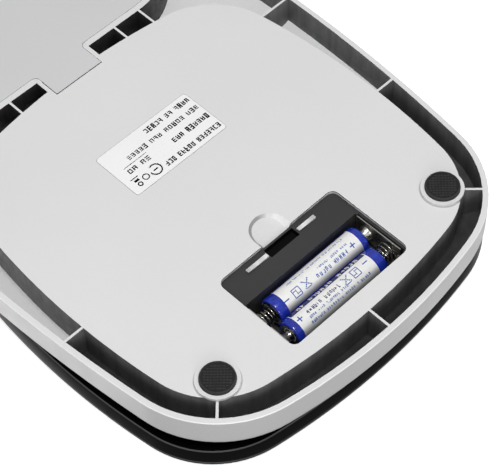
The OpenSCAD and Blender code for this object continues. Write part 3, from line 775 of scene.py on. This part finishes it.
class Cell:
    """AAA cell: metal ends, shrink sleeve with a white panel, blue bands and generic print.
    Along the cell, 0 is its flat end; round it, angle 0 faces down and grows towards +Y. panel
    and stripe are the angles between which the sleeve is white or navy."""

    def __init__(self, node, nub_side, panel, stripe=None):
        lo, hi, mid = size_of(node)
        self.node, self.nub_side = node, nub_side
        self.start = Vector((lo.x if nub_side > 0 else hi.x, mid.y, mid.z))
        self.radius = (hi.z - lo.z) / 2
        self.total = hi.x - lo.x
        self.can = self.total - NUB
        self.panel, self.stripe = panel, stripe
        self.mats = [M["nickel"], sleeve_white_painted_shade(node + "_white", node), M["blue"], M["navy"],
                     M["print_blue"], M["frame"], M["white_stroke"]]
        self.verts, self.faces, self.index = [], [], []

    def point(self, along, angle, radius):
        a = math.radians(angle)
        out = Vector((self.nub_side * along, math.sin(a) * radius, -math.cos(a) * radius))
        return self.start + out

    def body(self):
        """The cell's turned shape, with what each band of faces is made of."""
        r, can, total = (self.radius - SLEEVE_IN) / MM, self.can / MM, self.total / MM
        low, high = 4.0, 2.9
        rings = [
            (0.25, 0.02, METAL), (0.25, 3.3, METAL), (0.0, 3.6, METAL), (0.0, 4.1, METAL),
            (0.25, 4.35, METAL), (0.12, 4.45, BLUE), (0.1, 4.75, BLUE), (0.28, 5.0, BLUE),
            (0.6, r, BLUE), (low, r, WHITE), (low + 0.3, r, WRAPPED), (can - high - 0.3, r, WHITE),
            (can - high, r, BLUE), (can - 0.75, r, BLUE), (can - 0.4, r - 0.12, BLUE),
            (can - 0.1, r - 0.45, BLUE), (can - 0.02, r - 0.75, BLUE), (can - 0.1, 4.1, METAL),
            (can - 0.06, 3.2, METAL), (can - 0.3, 2.7, PLASTIC), (can - 0.3, 2.3, METAL),
            (can - 0.1, 1.95, METAL), (total - 0.3, 1.85, METAL), (total - 0.08, 1.7, METAL),
            (total, 1.4, METAL), (total, 0.02, METAL),
        ]
        for along, radius, _ in rings:
            for k in range(RING):
                self.verts.append(self.point(along * MM, 360 * k / RING, radius * MM))
        self.faces += bands(len(rings), RING)
        for _, _, mat in rings[:-1]:
            for k in range(RING):
                angle = 360 * (k + 0.5) / RING
                angle = angle - 360 if angle > 180 else angle
                self.index.append(self.wrap(angle) if mat == WRAPPED else mat)
        for ring in (0, len(rings) - 1):
            cap(self.faces, ring, RING)
            self.index.append(METAL)

    def wrap(self, angle):
        if self.panel[0] < angle < self.panel[1]:
            return WHITE
        if self.stripe and self.stripe[0] < angle < self.stripe[1]:
            return NAVY
        return BLUE

    def mark(self, along, angle, length, width, mat=PRINT):
        """A printed bar: length along the cell and width round it, both in millimetres."""
        radius = self.radius - PRINT_IN
        half = math.degrees(width * MM / self.radius) / 2
        parts = max(1, math.ceil(half * 2 / 6))
        base = len(self.verts)
        for j in range(parts + 1):
            a = angle - half + 2 * half * j / parts
            for end in (-length / 2, length / 2):
                self.verts.append(self.point(along + end * MM, a, radius))
        for j in range(parts):
            k = base + 2 * j
            self.faces.append((k, k + 1, k + 3, k + 2))
            self.index.append(mat)

    def words(self, start, stop, angle, height, seed, pitch, mat=PRINT):
        """A row of small meaningless strokes that stands in for print."""
        pick = random.Random(seed)
        at, left = start, pick.randint(3, 8)
        while at < stop:
            step = pitch * pick.uniform(0.85, 1.1)
            if left:
                for dx in (-0.22, 0.18):
                    if pick.random() < 0.8:
                        tall = height * pick.choice((0.65, 1.0))
                        self.mark((at + dx * pitch) * MM, angle, 0.23 * pitch, tall, mat)
                if pick.random() < 0.75:
                    turn = math.degrees(height * MM / self.radius)
                    shift = turn * pick.choice((-0.4, 0.0, 0.4))
                    self.mark(at * MM, angle + shift, 0.5 * pitch, 0.18 * height + 0.08, mat)
                left -= 1
            else:
                left = pick.randint(3, 9)
            at += step

    def frame_sign(self, along, angle, side):
        """Square outline with a few strokes in it."""
        turn = math.degrees(MM / self.radius)
        for s in (-1, 1):
            self.mark(along + s * side / 2 * MM, angle, 0.3, side)
            self.mark(along, angle + s * side / 2 * turn, side, 0.3)
        self.mark(along, angle, 0.25, side * 0.62)
        self.mark(along - side * 0.24 * MM, angle - side * 0.2 * turn, side * 0.36, 0.28)
        self.mark(along + side * 0.24 * MM, angle + side * 0.2 * turn, side * 0.36, 0.28)

    def cross_sign(self, along, angle, side):
        """Two stroke groups that cross, over a bar."""
        turn = math.degrees(MM / self.radius)
        steps = 7
        for j in range(steps):
            d = (j / (steps - 1) - 0.5) * side
            for s in (-1, 1):
                self.mark(along + d * MM, angle + s * d * turn, side / steps * 1.25, 0.42)
        self.mark(along, angle + side * 0.62 * turn, side * 0.8, 0.3)

    def finish(self, body):
        mesh = mesh_from(self.node + "_sleeve", self.verts, self.faces)
        mesh.polygons.foreach_set("material_index", self.index)
        fix_normals(mesh)
        smooth(mesh, 50)
        piece = new_object(self.node + "_sleeve", mesh, body, self.mats)
        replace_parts(piece, self.node)


def at_x(cell, x):
    """How far along a cell a place in the frame's x (in millimetres) is."""
    return abs(x * MM - cell.start.x)


front = Cell("front_cell", 1, (-45, 75))
front.body()
for x in (-15.2, 16.2):
    front.mark(at_x(front, x), 27, 2.3, 0.42)
front.mark(at_x(front, 16.2), 27, 0.42, 2.3)
front.frame_sign(at_x(front, -10.4), 27, 3.1)
front.cross_sign(at_x(front, -5.6), 24, 2.6)
front.words(9.5, 36.0, -22, 0.75, 3, 0.62)
front.words(21.5, 35.0, 8, 0.9, 5, 0.8)
front.words(19.5, 33.5, 32, 1.6, 7, 1.35)
front.finish("front_battery")

rear = Cell("rear_cell", -1, (-26, 101), (-62, -26))
rear.body()
rear.mark(at_x(rear, 13.6), 0, 2.3, 0.42)
rear.mark(at_x(rear, -17.6), 3, 2.3, 0.42)
rear.mark(at_x(rear, -17.6), 3, 0.42, 2.3)
rear.frame_sign(at_x(rear, 8.6), 6, 3.1)
rear.cross_sign(at_x(rear, 4.2), 4, 2.6)
rear.words(19.5, 34.5, 2, 1.5, 11, 1.25, NAVY)
rear.words(16.5, 35.0, 24, 0.9, 13, 0.8)
rear.words(8.0, 36.0, 44, 1.0, 17, 0.95)
rear.words(8.0, 36.5, -42, 2.2, 23, 2.0, STROKE)
rear.finish("rear_battery")


# ---- the load cell, which bends between its two ends
BEND_START = 20.0 * MM
BEND_END = 54.0 * MM
BEND_CUTS = 8


def bending_piece(node, name):
    """A CAD node's own shape, cut across in several places between BEND_START and BEND_END."""
    ready = NODES[node].evaluated_get(bpy.context.evaluated_depsgraph_get())
    mesh = bpy.data.meshes.new_from_object(ready)
    bm = bmesh.new()
    bm.from_mesh(mesh)
    for k in range(BEND_CUTS + 1):
        y = BEND_START + (BEND_END - BEND_START) * k / BEND_CUTS
        bmesh.ops.bisect_plane(bm, geom=bm.verts[:] + bm.edges[:] + bm.faces[:],
                               plane_co=(0, y, 0), plane_no=(0, 1, 0))
    bm.to_mesh(mesh)
    bm.free()
    piece = bpy.data.objects.new(name, mesh)
    piece.matrix_world = NODES[node].matrix_world
    bpy.context.scene.collection.objects.link(piece)
    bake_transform(piece)
    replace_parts(piece, node)


bending_piece("load_cell", "load_cell_bar")
bending_piece("strain_gauges", "gauge_pads")


# ---- feet
FOOT_SIDES = 72
# in millimetres
FIELD_Z = 0.3
LOZENGE_Z = 0.02
LOZENGE_PITCH = 1.05
LOZENGE_RIM = 0.95
LOZENGE_SIZES = ((0.42, 0.36), (0.56, 0.3))
LOZENGE_TOP_SHARE = 0.55


def foot_piece(node):
    """Rubber pad: rolled rim round a woven field of small raised lozenges."""
    lo, hi, mid = size_of(node)
    r = (hi.x - lo.x) / 2 / MM
    top = (hi.z - lo.z) / MM
    at = Vector((mid.x, mid.y, lo.z))
    profile = [(FIELD_Z, 0.02), (FIELD_Z, r - 0.62), (0.03, r - 0.5), (0.0, r - 0.38),
               (0.05, r - 0.2), (0.2, r - 0.05), (0.4, r), (top, r), (top, 0.02)]
    verts, faces = lathe(profile, FOOT_SIDES, at, Vector((0, 0, 1)))
    # the field is the first band and the cap inside it, which comes before the last cap
    field_faces = set(range(FOOT_SIDES)) | {len(faces) - 2}
    count = int(r / LOZENGE_PITCH) + 2
    quarter = Matrix.Rotation(math.radians(45), 2)
    for i in range(-count, count + 1):
        for j in range(-count, count + 1):
            x, y = i * LOZENGE_PITCH, j * LOZENGE_PITCH
            if math.hypot(x, y) > r - LOZENGE_RIM:
                continue
            a, b = LOZENGE_SIZES[(i + j) % 2 == 0]
            base = len(verts)
            for z, grow in ((FIELD_Z, 1.0), (LOZENGE_Z, LOZENGE_TOP_SHARE)):
                for sx, sy in ((-1, -1), (1, -1), (1, 1), (-1, 1)):
                    corner = quarter @ Vector((x + sx * a * grow, y + sy * b * grow))
                    verts.append(at + Vector((corner.x, corner.y, z)) * MM)
            for k in range(4):
                n = (k + 1) % 4
                faces.append((base + k, base + n, base + 4 + n, base + 4 + k))
            faces.append((base + 4, base + 5, base + 6, base + 7))
    mesh = mesh_from(node + "_tread", verts, faces)
    # painted shade: the recessed field between the lozenges gets the darker rubber
    index = [int(k in field_faces) for k in range(len(faces))]
    mesh.polygons.foreach_set("material_index", index)
    fix_normals(mesh)
    smooth(mesh, 40)
    mats = [M["rubber"], M["tread"]]
    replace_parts(new_object(node + "_tread", mesh, HOUSING, mats), node)


for foot in ("rear_left_foot", "rear_right_foot", "front_left_foot", "front_right_foot"):
    foot_piece(foot)


# ---- print on the rating label
INK = 0.012 * MM


class Print:
    """Thin printed strokes on a flat face. u runs from the +X end, v from the -Y edge, in mm."""

    def __init__(self, lo, hi):
        self.lo, self.hi = lo, hi
        self.verts, self.faces = [], []

    def bar(self, u, v, length, height):
        x, y, z = self.hi.x - u * MM, self.lo.y + v * MM, self.lo.z
        half = height / 2 * MM
        block(self.verts, self.faces, (x - length * MM, y - half, z - INK), (x, y + half, z))

    def glyph(self, u, v, width, height, pick):
        """A letter-sized group of strokes with no meaning."""
        t = 0.24 * height
        names = ("left", "right", "top", "mid", "low")
        strokes = pick.sample(names, pick.choice((3, 4, 4)))
        if "left" in strokes:
            self.bar(u, v, t, height)
        if "right" in strokes:
            self.bar(u + width - t, v, t, height)
        for name, where in (("top", 0.44), ("mid", 0.0), ("low", -0.44)):
            if name in strokes:
                self.bar(u, v + where * height, width, t * 0.9)

    def row(self, u, v, words, width, height, seed):
        """Groups of glyphs; words holds how many are in each."""
        pick = random.Random(seed)
        for count in words:
            for _ in range(count):
                self.glyph(u, v, width * 0.74, height * pick.choice((0.8, 0.8, 1.0)), pick)
                u += width
            u += width * 0.75

    def arc(self, u, v, radius, start, stop, width):
        """A curved stroke from one angle to another, in degrees."""
        steps = 14
        base = len(self.verts)
        for i in range(steps + 1):
            a = math.radians(start + (stop - start) * i / steps)
            for r in (radius - width / 2, radius + width / 2):
                for z in (self.lo.z - INK, self.lo.z):
                    self.verts.append(Vector((self.hi.x - (u + r * math.cos(a)) * MM,
                                              self.lo.y + (v + r * math.sin(a)) * MM, z)))
        for i in range(steps):
            k = base + 4 * i
            for a, b in ((0, 2), (2, 3), (3, 1), (1, 0)):
                self.faces.append((k + a, k + b, k + 4 + b, k + 4 + a))


LABEL_LO, LABEL_HI, LABEL_MID = size_of("rating_label")
label = Print(LABEL_LO, LABEL_HI)
label.row(0.9, 19.1, (7, 5, 3), 1.58, 2.5, 31)
label.row(0.9, 13.1, (6, 3), 1.78, 2.4, 37)
label.row(0.9, 7.7, (3, 5, 3, 5), 1.86, 2.1, 41)
label.row(1.0, 3.0, (4, 2, 5), 1.72, 2.3, 43)
label.row(28.4, 12.4, (2, 2), 2.2, 2.3, 47)
label.bar(28.0, 10.1, 10.4, 0.22)
label.arc(30.6, 18.0, 2.3, 0, 300, 0.55)
label.bar(29.6, 18.0, 2.0, 0.55)
label.arc(35.2, 18.0, 1.2, 0, 360, 0.45)
label.bar(36.9, 15.6, 3.4, 0.35)
label.bar(37.6, 17.0, 2.0, 1.0)
label.arc(38.6, 19.0, 0.8, 0, 360, 0.5)
LABEL_MESH = mesh_from("label_print", label.verts, label.faces)
fix_normals(LABEL_MESH)
new_object("label_print", LABEL_MESH, HOUSING, [M["ink"]])


# ---- display and buttons
TILT = math.radians(5.3)
WINDOW_LO, WINDOW_HI, WINDOW_MID = size_of("display_window")
PANE_T = 1.5 * MM
PANEL_UP = Vector((0, -math.sin(TILT), math.cos(TILT)))
# the window's own middle is half its thickness under the panel's face
FACE = Vector((0, WINDOW_MID.y, WINDOW_MID.z)) + PANEL_UP * PANE_T / 2
ON_PANEL = Matrix.Translation(FACE) @ Matrix.Rotation(TILT, 4, "X")
PANE_W = (WINDOW_HI.x - WINDOW_LO.x) / MM
PANE_D = 30.0
CORNER_STEPS = 10


def round_rect(w, d, r):
    """Points of a rounded rectangle, all the way round, in millimetres."""
    points = []
    for k, (sx, sy) in enumerate(((1, 1), (-1, 1), (-1, -1), (1, -1))):
        x, y = sx * (w / 2 - r), sy * (d / 2 - r)
        for i in range(CORNER_STEPS + 1):
            a = math.radians(90 * k + 90 * i / CORNER_STEPS)
            points.append((x + r * math.cos(a), y + r * math.sin(a)))
    return points


def slab(name, layers, matrix, mat, hole=None):
    """A plate built from layers of (outline, z), with rounded edges in its layers. hole gives
    the outline of an opening right through it."""
    verts = []
    count = len(layers[0][0])
    for outline, z in layers:
        verts += [matrix @ Vector((x * MM, y * MM, z * MM)) for x, y in outline]
    faces = bands(len(layers), count)
    if hole:
        base = len(verts)
        for z in (layers[0][1], layers[-1][1]):
            verts += [matrix @ Vector((x * MM, y * MM, z * MM)) for x, y in hole]
        last = (len(layers) - 1) * count
        for k in range(count):
            n = (k + 1) % count
            faces.append((k, base + k, base + n, n))
            faces.append((last + k, last + n, base + count + n, base + count + k))
            faces.append((base + k, base + count + k, base + count + n, base + n))
    else:
        cap(faces, 0, count)
        cap(faces, len(layers) - 1, count)
    mesh = mesh_from(name, verts, faces)
    fix_normals(mesh)
    smooth(mesh, 40)
    return new_object(name, mesh, HOUSING, [mat])


# painted shade: a grey rim just beyond the rating label's edge
EDGE_T = 0.05
LABEL_SIZE = (LABEL_HI - LABEL_LO) / MM
LABEL_EDGE = round_rect(LABEL_SIZE.x + 0.3, LABEL_SIZE.y + 0.3, 1.15)
LABEL_SPOT = (LABEL_MID.x, LABEL_MID.y, LABEL_HI.z - EDGE_T * MM)
slab("label_edge", [(LABEL_EDGE, 0.0), (LABEL_EDGE, EDGE_T)], Matrix.Translation(LABEL_SPOT),
     M["label_edge_shade"])
PANE_LAYERS = [
    (round_rect(PANE_W - 0.3, PANE_D - 0.3, 2.85), -1.44), (round_rect(PANE_W, PANE_D, 3), -1.3),
    (round_rect(PANE_W, PANE_D, 3), -0.3), (round_rect(PANE_W - 0.18, PANE_D - 0.18, 2.9), -0.09),
    (round_rect(PANE_W - 0.6, PANE_D - 0.6, 2.7), 0)]
PANE = slab("display_pane", PANE_LAYERS, ON_PANEL, M["pane"])
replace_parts(PANE, "display_window")
BORDER = round_rect(PANE_W - 0.1, PANE_D - 0.1, 2.95)
slab("display_border", [(BORDER, -1.5), (BORDER, -1.46)], ON_PANEL, M["print"],
     round_rect(58, 21, 1.2))

# the zero on the LCD, in millimetres: six segments, each with its middle and whether it stands
DIGIT_X, DIGIT_H, DIGIT_W = 14.0, 13.0, 7.0
DIGIT_LOW, DIGIT_TOP = -2.2, -2.185
DIGIT_SLANT = 0.07
SEGMENT_HALF = 0.65
SEGMENT_GAP = 0.15
SEGMENTS = ((0, DIGIT_H / 2, False), (DIGIT_W / 2, DIGIT_H / 4, True),
            (DIGIT_W / 2, -DIGIT_H / 4, True), (0, -DIGIT_H / 2, False),
            (-DIGIT_W / 2, -DIGIT_H / 4, True), (-DIGIT_W / 2, DIGIT_H / 4, True))


def segment(verts, faces, cx, cy, upright):
    """A thin six-sided bar."""
    half = SEGMENT_HALF
    long = (DIGIT_H / 2 if upright else DIGIT_W) / 2 - SEGMENT_GAP
    ring = ((-long, 0), (-long + half, half), (long - half, half), (long, 0),
            (long - half, -half), (-long + half, -half))
    base = len(verts)
    for z in (DIGIT_LOW, DIGIT_TOP):
        for a, b in ring:
            px, py = (b, a) if upright else (a, b)
            x = DIGIT_X + cx + px + (cy + py) * DIGIT_SLANT
            verts.append(ON_PANEL @ Vector((x * MM, (cy + py) * MM, z * MM)))
    faces.append(tuple(base + k for k in range(6)))
    faces.append(tuple(base + 6 + k for k in range(6)))
    for k in range(6):
        n = (k + 1) % 6
        faces.append((base + k, base + n, base + 6 + n, base + 6 + k))


def lcd_digits():
    """The zero, three bars that stand for the unit, and a minus sign."""
    verts, faces = [], []
    for cx, cy, upright in SEGMENTS:
        segment(verts, faces, cx, cy, upright)
    bars = [(21.5, -6.6 + 2.2 * k, 23.2 + 0.7 * k, -5.4 + 2.2 * k) for k in range(3)]
    for x0, y0, x1, y1 in bars + [(-26, -7, -23, -6.2)]:
        block(verts, faces, Vector((x0, y0, DIGIT_LOW)) * MM, Vector((x1, y1, DIGIT_TOP)) * MM,
              ON_PANEL)
    mesh = mesh_from("lcd_digits", verts, faces)
    fix_normals(mesh)
    new_object("lcd_digits", mesh, HOUSING, [M["digit"]])


lcd_digits()

STEM = -4.35


def button_piece(node, body, strokes):
    """Sprung button cap with a finger dish and a printed sign."""
    lo, hi, mid = size_of(node)
    r = (hi.x - lo.x) / 2 / MM
    face = Vector((mid.x, FACE.y, FACE.z))
    profile = [(0.72, 0.02), (0.74, 1.5), (0.82, 3.2), (0.97, 4.9), (1.12, 6.1), (1.19, 6.6),
               (1.2, 6.85), (1.14, r - 0.38), (0.98, r - 0.17), (0.72, r - 0.03), (0.5, r),
               (-2.2, r), (-2.4, r - 0.2), (-2.4, 2.5), (-2.6, 2.2), (STEM + 0.25, 2.2),
               (STEM, 1.95), (STEM, 0.02)]
    verts, faces = lathe(profile, RING, face, PANEL_UP)
    plain = len(faces)
    at = Matrix.Translation(face) @ Matrix.Rotation(TILT, 4, "X")
    for x0, y0, x1, y1 in strokes:
        block(verts, faces, Vector((x0, y0, 0.7)) * MM, Vector((x1, y1, 0.8)) * MM, at)
    mesh = mesh_from(node + "_cap", verts, faces)
    index = [0] * plain + [1] * (len(faces) - plain)
    mesh.polygons.foreach_set("material_index", index)
    fix_normals(mesh)
    smooth(mesh, 35)
    mats = [M["button"], M["mark"]]
    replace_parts(new_object(node + "_cap", mesh, body, mats), node)


def ring_strokes(radius, start, stop, count, size):
    """Small square strokes on an arc."""
    marks = []
    for i in range(count):
        a = math.radians(start + (stop - start) * i / (count - 1))
        x, y = radius * math.cos(a), radius * math.sin(a)
        marks.append((x - size, y - size, x + size, y + size))
    return marks


TARE_SIGN = ring_strokes(1.9, 125, 415, 30, 0.2) + [(-0.2, 0.6, 0.2, 2.6)]
UNIT_SIGN = [(-2.0, 0.9, 2.0, 1.3), (-2.0, -0.2, 1.0, 0.2), (-2.0, -1.3, 0.0, -0.9)]
button_piece("tare_button", "tare_key", TARE_SIGN)
button_piece("unit_button", "unit_key", UNIT_SIGN)


# ---- camera, stage and light
CAMERA_PLACE = Vector((-0.2404, 0.3140, -0.4762))
CAMERA_RIGHT = Vector((0.71255, 0.70110, 0.02706))
CAMERA_DOWN = Vector((-0.57946, 0.56629, 0.58613))
CAMERA_AHEAD = Vector((0.39561, -0.43332, 0.80977))
LENS_MM = 128.571
SENSOR_MM = 36.0


def make_camera():
    data = bpy.data.cameras.new("camera")
    data.lens = LENS_MM
    data.sensor_width = SENSOR_MM
    data.clip_start = 0.01
    data.clip_end = 20.0
    camera = bpy.data.objects.new("camera", data)
    bpy.context.scene.collection.objects.link(camera)
    turn = Matrix((CAMERA_RIGHT, -CAMERA_DOWN, -CAMERA_AHEAD)).transposed()
    camera.matrix_world = Matrix.Translation(CAMERA_PLACE) @ turn.to_4x4()
    bpy.context.scene.camera = camera


FLOOR_GLOW = 0.75
FLOOR_HALF = 1.6
FLOOR_GAP = 0.2 * MM


def one_sided(name, colour):
    """Pale floor that shows only on its front, so that the model can be seen from below too."""
    look = Look(name, colour, 0.6)
    look.vary(0.006, 3.0)
    look.set("Emission Color", (1.0, 1.0, 1.0, 1.0))
    look.set("Emission Strength", FLOOR_GLOW)
    clear = look.add("ShaderNodeBsdfTransparent")
    pick = look.add("ShaderNodeMixShader")
    back = look.add("ShaderNodeNewGeometry")
    look.link(back.outputs["Backfacing"], pick.inputs["Fac"])
    look.link(look.shader.outputs["BSDF"], pick.inputs[1])
    look.link(clear.outputs["BSDF"], pick.inputs[2])
    look.link(pick.outputs["Shader"], look.nodes["Material Output"].inputs["Surface"])
    return look.mat


def make_floor(name, z, up, mat):
    half = FLOOR_HALF
    corners = [(-half, -half, z), (half, -half, z), (half, half, z), (-half, half, z)]
    mesh = mesh_from(name, corners if up else corners[::-1], [(0, 1, 2, 3)])
    mesh.materials.append(mat)
    floor = bpy.data.objects.new(name, mesh)
    bpy.context.scene.collection.objects.link(floor)
    floor.visible_shadow = False
    floor.visible_diffuse = False
    floor.visible_glossy = False
    floor.visible_transmission = False


def soft_light(name, place, target, size, power):
    data = bpy.data.lights.new(name, "AREA")
    data.shape = "DISK"
    data.size = size
    data.energy = power
    light = bpy.data.objects.new(name, data)
    bpy.context.scene.collection.objects.link(light)
    light.location = place
    aim = Vector(target) - Vector(place)
    light.rotation_euler = aim.to_track_quat("-Z", "Y").to_euler()


def make_world(strength):
    world = bpy.data.worlds.new("studio")
    bpy.context.scene.world = world
    world.use_nodes = True
    back = world.node_tree.nodes["Background"]
    back.inputs["Color"].default_value = (1.0, 1.0, 1.0, 1.0)
    # white where it is seen, and dimmer where it lights the object
    seen = world.node_tree.nodes.new("ShaderNodeLightPath")
    level = world.node_tree.nodes.new("ShaderNodeMapRange")
    level.inputs["To Min"].default_value = strength
    level.inputs["To Max"].default_value = 1.0
    world.node_tree.links.new(seen.outputs["Is Camera Ray"], level.inputs["Value"])
    world.node_tree.links.new(level.outputs["Result"], back.inputs["Strength"])


make_camera()
bpy.context.scene.view_settings.view_transform = "Standard"
FLOOR_LOOK = one_sided("pale_floor", (0.92, 0.92, 0.92))
make_floor("floor_under_platform", CAD_HI.z, False, FLOOR_LOOK)
make_floor("floor_under_feet", CAD_LO.z - FLOOR_GAP, True, FLOOR_LOOK)
make_world(0.32)
soft_light("key_below", (-0.12, 0.22, -1.0), (0, 0.03, 0), 0.34, 5.6)
soft_light("fill_below", (0.5, -0.3, -0.8), (0, 0.03, 0), 0.8, 0.2)
soft_light("side_below", (-0.585, 0.97, -0.42), (0, 0.03, 0.01), 0.5, 2.6)
soft_light("key_above", (-0.5, -0.6, 0.9), (0, 0, 0), 0.7, 2.6)
soft_light("fill_above", (0.7, 0.2, 0.8), (0, 0, 0), 0.8, 1.2)
